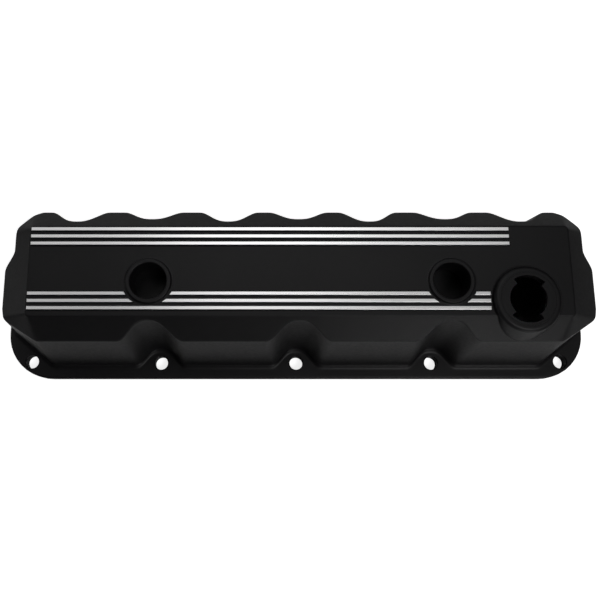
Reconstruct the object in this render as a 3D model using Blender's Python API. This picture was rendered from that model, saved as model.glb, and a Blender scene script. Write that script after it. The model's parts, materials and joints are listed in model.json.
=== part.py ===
"""Cast aluminium rocker cover: ribbed shell, gasket, oil baffles and filler ring.

Frame: +X along the cover, -Y the side with the tall wall and the bolt pockets, +Z up.
The origin is under the middle of the gasket, which is the lowest piece.
Every length is in metres.
"""
import math

import bmesh
import bpy
from mathutils import Vector

# ---- heights ---------------------------------------------------------------
GAP = 0.0003                                # clearance left between touching pieces
GASKET_THICKNESS = 0.003
FLANGE_BOTTOM = GASKET_THICKNESS + GAP
FLANGE_TOP = 0.011
ROOF_HEIGHT = 0.0796                        # roof above the top of the flange
ROOF = FLANGE_TOP + ROOF_HEIGHT
ROOF_THICKNESS = 0.004
WALL_THICKNESS = 0.005

# ---- plan of the flange and of the flat roof -------------------------------
FLANGE_HALF_LENGTH = 0.2424
FLANGE_HALF_WIDTH = 0.0689
FRONT_CORNER_RADIUS = 0.038
BACK_CORNER_RADIUS = 0.022
ROOF_HALF_LENGTH = 0.2038
ROOF_FRONT = -0.03095
ROOF_BACK = 0.0387
ROOF_CORNER_RADIUS = 0.003

# ---- how far each sloping panel runs out for each metre that it drops --------
FRONT_LEAN = 1.0
END_LEAN = 1.431
BACK_LEAN = 1.015
FRONT_CORNER_LEAN = 0.714
BACK_CORNER_LEAN = 0.915
FRONT_CORNER_NORMAL = Vector((0.5433, -0.8396))
BACK_CORNER_NORMAL = Vector((0.6460, 0.7630))

# ---- front wall and its bolt pockets ---------------------------------------
BOLT_PITCH = 0.1133
FRONT_BASE = -0.0580                        # foot of the wall
FRONT_SHOULDER = -0.0473                    # where the wall meets the sloping panel
POCKET_BASE = (0.0208, 0.0139)              # half width and depth at the foot
POCKET_SHOULDER = (0.0252, 0.01375)         # the same at the shoulder
POCKET_FULLNESS = 1.3

# ---- back wall: one lobe over each rocker, with valleys between them ---------
BACK_BASE = 0.0629
BACK_SHOULDER = 0.0553
CYLINDER_VALLEY_X = (0.0543, 0.1708)        # between the two rockers of one cylinder
CYLINDER_VALLEY = (0.0230, 0.0096, 0.0109)  # half width, depth at foot, depth at shoulder
BOLT_VALLEY_X = (0.0, BOLT_PITCH)           # between two cylinders
BOLT_VALLEY = (0.0232, 0.0114, 0.0080)
VALLEY_FULLNESS = 1.3

# ---- end walls and corners ----------------------------------------------------
END_BASE = 0.2378
END_SHOULDER = 0.2272
END_RECESS = 0.0086                         # the back part of each end is set in
RECESS_START, RECESS_LENGTH = 0.007, 0.016
FRONT_END_X, BACK_END_X = 0.192, 0.198      # where the long sides stop and corners start
END_START_Y, END_STOP_Y = -0.022, 0.036
CORNER_ROUNDING = 0.008
FRONT_CORNER_BASE = ((0.2030, FRONT_BASE), (0.2295, -0.0360), (END_BASE, -0.0290))
FRONT_CORNER_SHOULDER = ((0.2000, FRONT_SHOULDER), (0.2255, -0.0308))
BACK_CORNER_BASE = ((0.2280, 0.0430), (0.2085, 0.0610), (0.2020, BACK_BASE))
BACK_CORNER_SHOULDER = ((0.2182, 0.0415), (0.2065, 0.0520), (0.2005, BACK_SHOULDER))

# ---- inside of the shell --------------------------------------------------------
CAVITY_DROP = 0.003                         # inner shoulder below the outer one
CAVITY_ROOF_INSET = 0.003                   # inner roof edge inside the outer one

# ---- holes and bosses --------------------------------------------------------
BOLT_HOLE_RADIUS = 0.0055
FRONT_BOLT_Y = -0.0560
FRONT_CORNER_BOLT = (0.222, -0.0549)
BACK_BOLT_Y = 0.0606
BACK_CORNER_BOLT = (0.228, 0.057)
BREATHER_X = BOLT_PITCH
BREATHER_Y = -0.0043
BREATHER_BORE_RADIUS = 0.0137
BREATHER_BOSS_RADIUS = 0.0172
BREATHER_BOSS_HEIGHT = 0.0022
BREATHER_TUBE_DEPTH = 0.020
FILLER_X, FILLER_Y = 0.1683, -0.0187
FILLER_RADIUS = 0.0248                      # outside of the neck at its rim
FILLER_CHAMFER = 0.0012
FILLER_FLARE = 0.156                        # radius gained for each metre down the neck
FILLER_HEIGHT = 0.005
FILLER_SEAT_RADIUS = 0.0203
FILLER_SEAT_DEPTH = 0.004
FILLER_BORE_RADIUS = 0.0185
FILLER_NECK_FOOT = FLANGE_TOP + 0.061
FILLER_BORE_FOOT = FLANGE_TOP + 0.058
BAYONET_RADIUS = 0.0138
BAYONET_SLOT_RADIUS = 0.0179
BAYONET_SLOT_HALF_ANGLE = math.radians(40)
BAYONET_TURN = math.radians(-6)             # slots turned from the line across the cover
ROUND_SIDES, BORE_SIDES = 48, 32
BOLT_SIDES, SCREW_SIDES = 20, 12
REACH = 0.001                               # how far a cutter runs past a surface
DEEP_REACH = 0.003                          # the same where nothing else is near

# ---- ribs on the roof ---------------------------------------------------------
RIB_WIDTH = 0.0026
RIB_HEIGHT = 0.002
RIB_START_X = -0.2026
BACK_RIB_Y, BACK_RIB_END_X = (0.0359, 0.0303, 0.0247), 0.158
FRONT_RIB_Y, FRONT_RIB_END_X = (-0.0139, -0.0194, -0.0249), 0.1413
RIB_RELIEF_RADIUS = 0.0196                  # ribs stop at this distance from a breather

# ---- gasket --------------------------------------------------------------------
GASKET_EDGE_MARGIN = 0.0006                 # gasket edge set in from the flange edge
GASKET_INNER_LIP = 0.0008                   # gasket showing inside the wall
GASKET_HOLE_CLEARANCE = 0.0003

# ---- baffles and their fixings -------------------------------------------------
BAFFLE_HALF_LENGTH, BAFFLE_HALF_WIDTH = 0.027, 0.025
BAFFLE_Y = -0.002
BAFFLE_SHEET = 0.0015
BAFFLE_LIP = 0.009
BAFFLE_DROP = 0.030                         # post length below the roof's outside
POST_OFFSET_X, POST_OFFSET_Y = 0.0215, 0.0180
POST_RADIUS = 0.0045
SCREW_RADIUS = 0.0023
SCREW_TIP_CHAMFER, SCREW_TIP_TAPER = 0.0006, 0.7
SCREW_HEAD_RADIUS, SCREW_HEAD_HEIGHT = 0.0044, 0.0030
SCREW_HEAD_CROWN, SCREW_HEAD_CROWN_RADIUS = 0.72, 0.86    # fractions of the head's sizes
SCREW_SOCKET_RADIUS, SCREW_SOCKET_DEPTH = 0.0018, 0.0016
SCREW_REACH = 0.0075                        # thread engaged inside the post
WASHER_RADIUS, WASHER_THICKNESS = 0.0046, 0.0012
SCREW_CLEARANCE_RADIUS = SCREW_RADIUS + 0.0004


# ---- materials ------------------------------------------------------------------
def make_material(name, colour, roughness, metallic):
    material = bpy.data.materials.new(name)
    material.use_nodes = True
    shader = material.node_tree.nodes["Principled BSDF"]
    shader.inputs["Base Color"].default_value = (*colour, 1.0)
    shader.inputs["Roughness"].default_value = roughness
    shader.inputs["Metallic"].default_value = metallic
    return material


# ---- mesh helpers ------------------------------------------------------------------
def add_object(name, mesh_builder, material=None):
    """Turns a bmesh into a named object with outward normals."""
    bmesh.ops.recalc_face_normals(mesh_builder, faces=mesh_builder.faces)
    mesh = bpy.data.meshes.new(name)
    mesh_builder.to_mesh(mesh)
    mesh_builder.free()
    if material:
        mesh.materials.append(material)
    piece = bpy.data.objects.new(name, mesh)
    bpy.context.scene.collection.objects.link(piece)
    return piece


def join_rows(builder, rows, is_round):
    """Faces between one row of points and the next, shaded smooth if they go round a circle."""
    for lower, upper in zip(rows, rows[1:]):
        for i in range(len(lower)):
            j = (i + 1) % len(lower)
            face = builder.faces.new((lower[i], lower[j], upper[j], upper[i]))
            face.smooth = is_round
    if is_round:
        for row in rows:
            for a, b in zip(row, row[1:] + row[:1]):
                builder.edges.get((a, b)).smooth = False


def loft(rings, is_round=False):
    """Closed solid through rings of equal length, capped at both ends."""
    builder = bmesh.new()
    rows = [[builder.verts.new(point) for point in ring] for ring in rings]
    join_rows(builder, rows, is_round)
    builder.faces.new(rows[0])
    builder.faces.new(rows[-1])
    return builder


def band(outer, inner, bottom, top, is_round=False):
    """Closed flat ring between two outlines that have equal counts."""
    builder = bmesh.new()
    levels = ((outer, bottom), (outer, top), (inner, top), (inner, bottom))
    rows = [[builder.verts.new((x, y, z)) for x, y in outline] for outline, z in levels]
    join_rows(builder, rows + rows[:1], is_round)
    return builder


def circle(x, y, radius, sides):
    angles = (2 * math.pi * i / sides for i in range(sides))
    return [(x + radius * math.cos(a), y + radius * math.sin(a)) for a in angles]


def prism(outline, bottom, top, is_round=False):
    return loft([[(x, y, bottom) for x, y in outline], [(x, y, top) for x, y in outline]], is_round)


def cylinder(x, y, radius, sides, bottom, top):
    return prism(circle(x, y, radius, sides), bottom, top, is_round=True)


def turned(x, y, profile, sides):
    """Solid of revolution about a vertical axis, through (radius, height) pairs."""
    return loft([[(px, py, z) for px, py in circle(x, y, radius, sides)] for radius, z in profile],
                is_round=True)


def tool_collection(name, builders):
    """Guide solids for a Boolean, left out of the model itself."""
    collection = bpy.data.collections.new(name)
    bpy.context.scene.collection.children.link(collection)
    for number, builder in enumerate(builders, 1):
        tool = add_object(f"{name}_{number}", builder)
        bpy.context.scene.collection.objects.unlink(tool)
        collection.objects.link(tool)
        tool.hide_render = True
        tool.display_type = "WIRE"
    return collection


def add_boolean(piece, operation, collection):
    modifier = piece.modifiers.new(collection.name, "BOOLEAN")
    modifier.operation = operation
    modifier.solver = "EXACT"
    modifier.operand_type = "COLLECTION"
    modifier.collection = collection


# ---- shape of the walls and roof ------------------------------------------------------
def bell(u, fullness):
    """1 in the middle, 0 from |u| = 1 outwards, smooth in between."""
    if abs(u) >= 1:
        return 0.0
    return math.cos(math.pi / 2 * abs(u) ** fullness) ** 2


def smoothstep(t):
    t = min(max(t, 0.0), 1.0)
    return t * t * (3 - 2 * t)


def roof_height(x, y):
    """Height above the flange of the many-sided roof over a point in plan."""
    x = abs(x)
    front_corner = (x - ROOF_HALF_LENGTH, y - ROOF_FRONT)
    back_corner = (x - ROOF_HALF_LENGTH, y - ROOF_BACK)
    drops = (
        0.0,
        (ROOF_FRONT - y) / FRONT_LEAN,
        (x - ROOF_HALF_LENGTH) / END_LEAN,
        (y - ROOF_BACK) / BACK_LEAN,
        FRONT_CORNER_NORMAL.dot(front_corner) / FRONT_CORNER_LEAN,
        BACK_CORNER_NORMAL.dot(back_corner) / BACK_CORNER_LEAN,
    )
    return ROOF_HEIGHT - max(drops)


def arc_through(before, corner, after, radius, most, steps=8):
    """Points of the circular arc that rounds a corner, using at most a part of each leg."""
    towards, away = before - corner, after - corner
    turn = math.pi - towards.angle(away)
    reach = min(radius * math.tan(turn / 2), towards.length * most, away.length * most)
    start = corner + towards.normalized() * reach
    stop = corner + away.normalized() * reach
    for k in range(steps + 1):
        t = k / steps
        a, b, c = (1 - t) ** 2, 2 * math.cos(turn / 2) * t * (1 - t), t * t
        yield (start * a + corner * b + stop * c) / (a + b + c)


def rounded_path(corners, radius, count, most=0.49):
    """Evenly spaced points along a polyline whose inner corners are rounded."""
    corners = [Vector(corner) for corner in corners]
    points = [corners[0]]
    for before, corner, after in zip(corners, corners[1:], corners[2:]):
        points += arc_through(before, corner, after, radius, most)
    return resample(points + [corners[-1]], count)


def resample(points, count):
    lengths = [0.0]
    for a, b in zip(points, points[1:]):
        lengths.append(lengths[-1] + (b - a).length)
    samples = []
    k = 0
    for i in range(count + 1):
        target = lengths[-1] * i / count
        while k < len(points) - 2 and lengths[k + 1] < target:
            k += 1
        span = max(lengths[k + 1] - lengths[k], 1e-12)
        samples.append(points[k].lerp(points[k + 1], (target - lengths[k]) / span))
    return samples


def spaced(centres, half_width, steps):
    """Places along X that follow each bell closely."""
    return [c + half_width * k / steps for c in centres for k in range(-steps, steps + 1)]


def dip(x, centres, half_width, depth, fullness):
    """How far a wall goes in at x for the pockets or valleys at the given centres."""
    return depth * max(bell((x - centre) / half_width, fullness) for centre in centres)


def front_stations():
    pockets = (0.0, BOLT_PITCH)
    xs = spaced(pockets, POCKET_BASE[0], 4) + spaced(pockets, POCKET_SHOULDER[0], 5) + [FRONT_END_X]
    for x in sorted({round(x, 5) for x in xs if x >= 0}):
        foot_y = FRONT_BASE + dip(x, pockets, *POCKET_BASE, POCKET_FULLNESS)
        shoulder_y = FRONT_SHOULDER + dip(x, pockets, *POCKET_SHOULDER, POCKET_FULLNESS)
        roof_x = x * (ROOF_HALF_LENGTH - ROOF_CORNER_RADIUS) / FRONT_END_X
        yield (x, -FLANGE_HALF_WIDTH), (x, foot_y), (x, shoulder_y), (roof_x, ROOF_FRONT), (0, 1)


def front_corner_stations(steps=11):
    flange = rounded_path([(FRONT_END_X, -FLANGE_HALF_WIDTH), (FLANGE_HALF_LENGTH, -FLANGE_HALF_WIDTH),
                           (FLANGE_HALF_LENGTH, END_START_Y)], FRONT_CORNER_RADIUS, steps, most=0.9)
    base = rounded_path([(FRONT_END_X, FRONT_BASE), *FRONT_CORNER_BASE, (END_BASE, END_START_Y)],
                        CORNER_ROUNDING, steps)
    shoulder = rounded_path([(FRONT_END_X, FRONT_SHOULDER), *FRONT_CORNER_SHOULDER,
                             (END_SHOULDER, END_START_Y)], CORNER_ROUNDING, steps)
    roof = rounded_path([(ROOF_HALF_LENGTH - ROOF_CORNER_RADIUS, ROOF_FRONT), (ROOF_HALF_LENGTH, ROOF_FRONT),
                         (ROOF_HALF_LENGTH, ROOF_FRONT + ROOF_CORNER_RADIUS)],
                        ROOF_CORNER_RADIUS, steps, most=0.9)
    for i in range(1, steps):
        turn = math.pi / 2 * i / steps
        yield flange[i], base[i], shoulder[i], roof[i], (-math.sin(turn), math.cos(turn))


def end_stations(steps=10):
    for i in range(steps + 1):
        t = i / steps
        y = END_START_Y + (END_STOP_Y - END_START_Y) * t
        inset = END_RECESS * smoothstep((y - RECESS_START) / RECESS_LENGTH)
        roof_start = ROOF_FRONT + ROOF_CORNER_RADIUS
        roof_y = roof_start + (ROOF_BACK - ROOF_CORNER_RADIUS - roof_start) * t
        yield ((FLANGE_HALF_LENGTH, y), (END_BASE - inset, y), (END_SHOULDER - inset, y),
               (ROOF_HALF_LENGTH, roof_y), (-1, 0))


def back_corner_stations(steps=9):
    flange = rounded_path([(FLANGE_HALF_LENGTH, END_STOP_Y), (FLANGE_HALF_LENGTH, FLANGE_HALF_WIDTH),
                           (BACK_END_X, FLANGE_HALF_WIDTH)], BACK_CORNER_RADIUS, steps, most=0.9)
    base = rounded_path([(END_BASE - END_RECESS, END_STOP_Y), *BACK_CORNER_BASE, (BACK_END_X, BACK_BASE)],
                        CORNER_ROUNDING, steps)
    shoulder = rounded_path([(END_SHOULDER - END_RECESS, END_STOP_Y), *BACK_CORNER_SHOULDER,
                             (BACK_END_X, BACK_SHOULDER)], CORNER_ROUNDING, steps)
    roof = rounded_path([(ROOF_HALF_LENGTH, ROOF_BACK - ROOF_CORNER_RADIUS), (ROOF_HALF_LENGTH, ROOF_BACK),
                         (ROOF_HALF_LENGTH - ROOF_CORNER_RADIUS, ROOF_BACK)],
                        ROOF_CORNER_RADIUS, steps, most=0.9)
    for i in range(1, steps):
        turn = math.pi / 2 * i / steps
        yield flange[i], base[i], shoulder[i], roof[i], (-math.cos(turn), -math.sin(turn))


def back_stations():
    rows = ((CYLINDER_VALLEY_X, CYLINDER_VALLEY), (BOLT_VALLEY_X, BOLT_VALLEY))
    xs = [x for centres, (half_width, _, _) in rows for x in spaced(centres, half_width, 6)]
    for x in sorted((x for x in xs + [BACK_END_X] if x >= 0), reverse=True):
        foot_y, shoulder_y = BACK_BASE, BACK_SHOULDER
        for centres, (half_width, foot_depth, shoulder_depth) in rows:
            foot_y -= dip(x, centres, half_width, foot_depth, VALLEY_FULLNESS)
            shoulder_y -= dip(x, centres, half_width, shoulder_depth, VALLEY_FULLNESS)
        roof_x = x * (ROOF_HALF_LENGTH - ROOF_CORNER_RADIUS) / BACK_END_X
        yield (x, FLANGE_HALF_WIDTH), (x, foot_y), (x, shoulder_y), (roof_x, ROOF_BACK), (0, -1)


def all_stations():
    """Stations right round the cover: flange edge, wall foot, shoulder, roof edge, inward direction."""
    right = [*front_stations(), *front_corner_stations(), *end_stations(), *back_corner_stations(),
             *back_stations()]
    right = [tuple(Vector(point) for point in station) for station in right]
    mirror = Vector((-1, 1))
    left = [tuple(point * mirror for point in station) for station in reversed(right[1:-1])]
    return right + left


def lift(point, z):
    return (point.x, point.y, z)


def outer_shell(stations):
    flange = [flange for flange, _, _, _, _ in stations]
    return loft([
        [lift(point, FLANGE_BOTTOM) for point in flange],
        [lift(point, FLANGE_TOP) for point in flange],
        [lift(foot, FLANGE_TOP) for _, foot, _, _, _ in stations],
        [lift(point, FLANGE_TOP + roof_height(*point)) for _, _, point, _, _ in stations],
        [lift(edge, ROOF) for _, _, _, edge, _ in stations],
    ])


def cavity(stations):
    feet = [foot + inward * WALL_THICKNESS for _, foot, _, _, inward in stations]
    shoulders = [lift(point + inward * WALL_THICKNESS, FLANGE_TOP + roof_height(*point) - CAVITY_DROP)
                 for _, _, point, _, inward in stations]
    edges = [lift(edge + inward * CAVITY_ROOF_INSET, ROOF - ROOF_THICKNESS)
             for _, _, _, edge, inward in stations]
    below = FLANGE_BOTTOM - REACH
    return loft([[lift(point, below) for point in feet], [lift(point, FLANGE_BOTTOM) for point in feet],
                 shoulders, edges])


# ---- features of the casting --------------------------------------------------------------
def bolt_places():
    places = [(x, FRONT_BOLT_Y) for x in (-BOLT_PITCH, 0.0, BOLT_PITCH)]
    places += [(x, BACK_BOLT_Y) for x in (-BOLT_PITCH, 0.0, BOLT_PITCH)]
    places += [(side * x, y) for side in (-1, 1) for x, y in (FRONT_CORNER_BOLT, BACK_CORNER_BOLT)]
    return places


def rib_outlines():
    """Each rib's plan, broken with slanted ends where it would run into a breather boss."""
    half = RIB_WIDTH / 2
    for lines, end_x in ((BACK_RIB_Y, BACK_RIB_END_X), (FRONT_RIB_Y, FRONT_RIB_END_X)):
        for y in lines:
            lower, upper = y - half, y + half
            starts, stops = [(RIB_START_X, RIB_START_X)], []
            for centre in (-BREATHER_X, BREATHER_X):
                reach = [RIB_RELIEF_RADIUS ** 2 - (edge - BREATHER_Y) ** 2 for edge in (lower, upper)]
                if min(reach) <= 0:
                    continue
                cut = [math.sqrt(value) for value in reach]
                stops.append((centre - cut[0], centre - cut[1]))
                starts.append((centre + cut[0], centre + cut[1]))
            stops.append((end_x, end_x))
            for start, stop in zip(starts, stops):
                yield [(start[0], lower), (stop[0], lower), (stop[1], upper), (start[1], upper)]


def baffle_centres():
    return {"left": (-BREATHER_X, BAFFLE_Y), "right": (BREATHER_X, BAFFLE_Y)}


def post_places(centre):
    return [(centre[0] + i * POST_OFFSET_X, centre[1] + j * POST_OFFSET_Y) for j in (-1, 1) for i in (-1, 1)]


def neck_profile():
    """The filler neck: a drafted cone with a chamfered rim."""
    rim = ROOF + FILLER_HEIGHT
    foot_radius = FILLER_RADIUS + FILLER_FLARE * (rim - FILLER_NECK_FOOT)
    return [(foot_radius, FILLER_NECK_FOOT), (FILLER_RADIUS, rim - FILLER_CHAMFER),
            (FILLER_RADIUS - FILLER_CHAMFER, rim)]


def make_casting(stations, material):
    casting = add_object("cover_casting", outer_shell(stations), material)
    breathers = [(-BREATHER_X, BREATHER_Y), (BREATHER_X, BREATHER_Y)]
    posts = [place for centre in baffle_centres().values() for place in post_places(centre)]
    post_foot = ROOF - BAFFLE_DROP
    inside_roof = ROOF - ROOF_THICKNESS / 2
    boss_top = ROOF + BREATHER_BOSS_HEIGHT
    tube_foot = ROOF - BREATHER_TUBE_DEPTH
    rim = ROOF + FILLER_HEIGHT
    ledge = rim - FILLER_SEAT_DEPTH

    outside = [turned(FILLER_X, FILLER_Y, neck_profile(), ROUND_SIDES)]
    outside += [prism(outline, ROOF - REACH, ROOF + RIB_HEIGHT) for outline in rib_outlines()]
    inside = [cylinder(x, y, BREATHER_BOSS_RADIUS, BORE_SIDES, tube_foot, boss_top) for x, y in breathers]
    inside += [cylinder(x, y, POST_RADIUS, SCREW_SIDES, post_foot, inside_roof) for x, y in posts]

    holes = [cylinder(x, y, BOLT_HOLE_RADIUS, BOLT_SIDES, FLANGE_BOTTOM - REACH, FLANGE_TOP + REACH)
             for x, y in bolt_places()]
    holes += [cylinder(x, y, BREATHER_BORE_RADIUS, BORE_SIDES, tube_foot - DEEP_REACH, boss_top + DEEP_REACH)
              for x, y in breathers]
    holes += [cylinder(x, y, SCREW_CLEARANCE_RADIUS, SCREW_SIDES, post_foot - REACH,
                       post_foot + SCREW_REACH + DEEP_REACH) for x, y in posts]
    holes.append(cylinder(FILLER_X, FILLER_Y, FILLER_BORE_RADIUS, ROUND_SIDES, FILLER_BORE_FOOT,
                          ledge + REACH))
    holes.append(cylinder(FILLER_X, FILLER_Y, FILLER_SEAT_RADIUS, ROUND_SIDES, ledge, rim + DEEP_REACH))

    add_boolean(casting, "UNION", tool_collection("outside_features", outside))
    add_boolean(casting, "DIFFERENCE", tool_collection("cavity", [cavity(stations)]))
    add_boolean(casting, "UNION", tool_collection("inside_features", inside))
    add_boolean(casting, "DIFFERENCE", tool_collection("holes", holes))
    return casting


# ---- the loose pieces --------------------------------------------------------------------------
def make_gasket(stations, material):
    outer = [flange + inward * GASKET_EDGE_MARGIN for flange, _, _, _, inward in stations]
    inner = [foot + inward * (WALL_THICKNESS - GASKET_INNER_LIP) for _, foot, _, _, inward in stations]
    gasket = add_object("gasket", band(outer, inner, 0.0, GASKET_THICKNESS), material)
    holes = [cylinder(x, y, BOLT_HOLE_RADIUS + GASKET_HOLE_CLEARANCE, SCREW_SIDES, -REACH,
                      GASKET_THICKNESS + REACH) for x, y in bolt_places()]
    add_boolean(gasket, "DIFFERENCE", tool_collection("gasket_holes", holes))
    return gasket


def bayonet_outline(segments=8):
    """Round opening with two opposite slots for the cap's lugs."""
    outline = []
    narrow, wide = math.pi / 2 - BAYONET_SLOT_HALF_ANGLE, BAYONET_SLOT_HALF_ANGLE
    for quarter, radius, half in ((0, BAYONET_RADIUS, narrow), (1, BAYONET_SLOT_RADIUS, wide),
                                  (2, BAYONET_RADIUS, narrow), (3, BAYONET_SLOT_RADIUS, wide)):
        middle = BAYONET_TURN + quarter * math.pi / 2
        for k in range(segments + 1):
            angle = middle - half + 2 * half * k / segments
            outline.append((FILLER_X + radius * math.cos(angle), FILLER_Y + radius * math.sin(angle)))
    return outline


def make_bayonet_ring(material):
    top = ROOF + FILLER_HEIGHT
    ledge = top - FILLER_SEAT_DEPTH
    disc = cylinder(FILLER_X, FILLER_Y, FILLER_SEAT_RADIUS - GAP, ROUND_SIDES, ledge + GAP, top)
    ring = add_object("filler_bayonet_ring", disc, material)
    opening = prism(bayonet_outline(), ledge - REACH, top + REACH)
    add_boolean(ring, "DIFFERENCE", tool_collection("bayonet_opening", [opening]))
    return ring


def make_baffle(name, centre, material):
    """Bent sheet tray: a floor with two long upturned lips, open at both ends."""
    top = ROOF - BAFFLE_DROP - GAP
    floor = top - BAFFLE_SHEET
    left, right = centre[1] - BAFFLE_HALF_WIDTH, centre[1] + BAFFLE_HALF_WIDTH
    lip_top = top + BAFFLE_LIP
    profile = [(left, lip_top), (left, floor), (right, floor), (right, lip_top),
               (right - BAFFLE_SHEET, lip_top), (right - BAFFLE_SHEET, top),
               (left + BAFFLE_SHEET, top), (left + BAFFLE_SHEET, lip_top)]
    ends = [[(centre[0] + side * BAFFLE_HALF_LENGTH, y, z) for y, z in profile] for side in (-1, 1)]
    baffle = add_object(name, loft(ends), material)
    holes = [cylinder(x, y, SCREW_CLEARANCE_RADIUS, SCREW_SIDES, floor - REACH, top + REACH)
             for x, y in post_places(centre)]
    add_boolean(baffle, "DIFFERENCE", tool_collection(f"{name}_holes", holes))
    return baffle


def washer_mesh():
    outer = circle(0, 0, WASHER_RADIUS, BOLT_SIDES)
    inner = circle(0, 0, SCREW_CLEARANCE_RADIUS, BOLT_SIDES)
    return band(outer, inner, -WASHER_THICKNESS, 0.0, is_round=True)


def screw_mesh():
    """Socket screw, head down: the origin is where the head meets the washer."""
    head = -SCREW_HEAD_HEIGHT
    tip = WASHER_THICKNESS + BAFFLE_SHEET + SCREW_REACH
    crown = SCREW_HEAD_RADIUS * SCREW_HEAD_CROWN_RADIUS
    flat = math.cos(math.pi / 6)
    hexagon = [SCREW_SOCKET_RADIUS * (1.0 if i % 2 == 0 else flat) for i in range(SCREW_SIDES)]
    levels = [(hexagon, head + SCREW_SOCKET_DEPTH), (hexagon, head), ([crown], head),
              ([SCREW_HEAD_RADIUS], head * SCREW_HEAD_CROWN), ([SCREW_HEAD_RADIUS], 0.0),
              ([SCREW_RADIUS], 0.0), ([SCREW_RADIUS], tip - SCREW_TIP_CHAMFER),
              ([SCREW_RADIUS * SCREW_TIP_TAPER], tip)]
    angles = [2 * math.pi * i / SCREW_SIDES for i in range(SCREW_SIDES)]
    rings = []
    for radii, z in levels:
        radii = radii if len(radii) == SCREW_SIDES else radii * SCREW_SIDES
        rings.append([(r * math.cos(a), r * math.sin(a), z) for r, a in zip(radii, angles)])
    return loft(rings, is_round=True)


def make_fixings(steel):
    """One washer and one screw under each post, all copies of the same two meshes."""
    washer_top = ROOF - BAFFLE_DROP - 2 * GAP - BAFFLE_SHEET
    screw_seat = washer_top - WASHER_THICKNESS - GAP
    washer = add_object("lock_washer", washer_mesh(), steel)
    screw = add_object("baffle_screw", screw_mesh(), steel)
    for side, centre in baffle_centres().items():
        for number, (x, y) in enumerate(post_places(centre), 1):
            for pattern, height in ((washer, washer_top), (screw, screw_seat)):
                copy = bpy.data.objects.new(f"{side}_{pattern.name}_{number}", pattern.data)
                copy.location = (x, y, height)
                bpy.context.scene.collection.objects.link(copy)
    for pattern in (washer, screw):
        bpy.data.objects.remove(pattern)


def main():
    for leftover in list(bpy.data.objects):
        bpy.data.objects.remove(leftover)
    black = make_material("black_coated_aluminium", (0.012, 0.012, 0.013), 0.42, 0.0)
    rubber = make_material("gasket_rubber", (0.03, 0.03, 0.03), 0.85, 0.0)
    steel = make_material("zinc_steel", (0.55, 0.55, 0.56), 0.35, 1.0)

    stations = all_stations()
    make_casting(stations, black)
    make_gasket(stations, rubber)
    make_bayonet_ring(black)
    for side, centre in baffle_centres().items():
        make_baffle(f"{side}_baffle", centre, black)
    make_fixings(steel)


main()
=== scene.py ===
"""Looks of the cast rocker cover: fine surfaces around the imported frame, materials, light and camera.

Frame: +X along the cover, -Y its tall bolt-pocket side, +Z up, in metres.
"""
import json
import math

import bmesh
import bpy
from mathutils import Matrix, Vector

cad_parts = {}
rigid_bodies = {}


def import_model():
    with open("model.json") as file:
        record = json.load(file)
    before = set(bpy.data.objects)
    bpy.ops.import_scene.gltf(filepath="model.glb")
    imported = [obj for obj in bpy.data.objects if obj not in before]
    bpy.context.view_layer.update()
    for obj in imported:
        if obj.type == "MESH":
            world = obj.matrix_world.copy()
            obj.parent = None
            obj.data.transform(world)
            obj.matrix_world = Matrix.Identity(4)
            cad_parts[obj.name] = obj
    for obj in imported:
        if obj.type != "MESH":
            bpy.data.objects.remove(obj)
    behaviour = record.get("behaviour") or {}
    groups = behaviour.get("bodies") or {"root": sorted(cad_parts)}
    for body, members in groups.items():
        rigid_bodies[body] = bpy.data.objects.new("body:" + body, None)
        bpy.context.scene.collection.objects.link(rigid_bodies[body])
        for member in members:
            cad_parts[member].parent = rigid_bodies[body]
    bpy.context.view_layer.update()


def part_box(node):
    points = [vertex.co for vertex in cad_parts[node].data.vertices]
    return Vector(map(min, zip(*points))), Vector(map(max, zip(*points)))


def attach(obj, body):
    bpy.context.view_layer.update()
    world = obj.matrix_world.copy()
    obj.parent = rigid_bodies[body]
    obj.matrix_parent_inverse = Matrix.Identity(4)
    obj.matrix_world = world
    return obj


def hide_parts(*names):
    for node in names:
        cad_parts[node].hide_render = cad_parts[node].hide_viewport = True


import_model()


def corners_of(node):
    """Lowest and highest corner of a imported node."""
    low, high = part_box(node)
    return Vector(low), Vector(high)


# ---- heights and plan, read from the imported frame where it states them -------
CASTING_LOW, CASTING_HIGH = corners_of("cover_casting")
GASKET_LOW, GASKET_HIGH = corners_of("gasket")
FILLER_HEIGHT = 0.005
FLANGE_BOTTOM = CASTING_LOW.z
FLANGE_THICKNESS = 0.0077
FLANGE_TOP = FLANGE_BOTTOM + FLANGE_THICKNESS
ROOF = CASTING_HIGH.z - FILLER_HEIGHT
ROOF_HEIGHT = ROOF - FLANGE_TOP
ROOF_THICKNESS = 0.004
WALL_THICKNESS = 0.005
FLANGE_HALF_LENGTH = CASTING_HIGH.x
FLANGE_HALF_WIDTH = CASTING_HIGH.y
FRONT_CORNER_RADIUS = 0.038
BACK_CORNER_RADIUS = 0.022
ROOF_HALF_LENGTH = 0.2038
ROOF_FRONT = -0.03095
ROOF_BACK = 0.0387
ROOF_CORNER_RADIUS = 0.003
ROOF_RIM = 0.0018                           # width of the roof's outermost strip
ROOF_MIDDLE = ((-0.2008, -0.0279), (0.2008, 0.0357))      # plain rectangle inside the roof's rounded edge
ROOF_MIDDLE_Y = (ROOF_FRONT + ROOF_BACK) / 2
CEILING_MIDDLE = ((-0.190, -0.0185), (0.190, 0.0265))     # the same for the ceiling inside
CEILING_SHARE = (0.955, 0.75)               # ring round that rectangle, as shares of the roof's plan
CAVITY_SHOULDER_DROP = 0.003                # the cavity's shoulder below the outer one
CAVITY_CREASE_INSET = 0.0029                # its ceiling's edge in from the roof's edge
CUT_REACH = 0.001                           # how far a cutter runs past the face it opens

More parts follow.
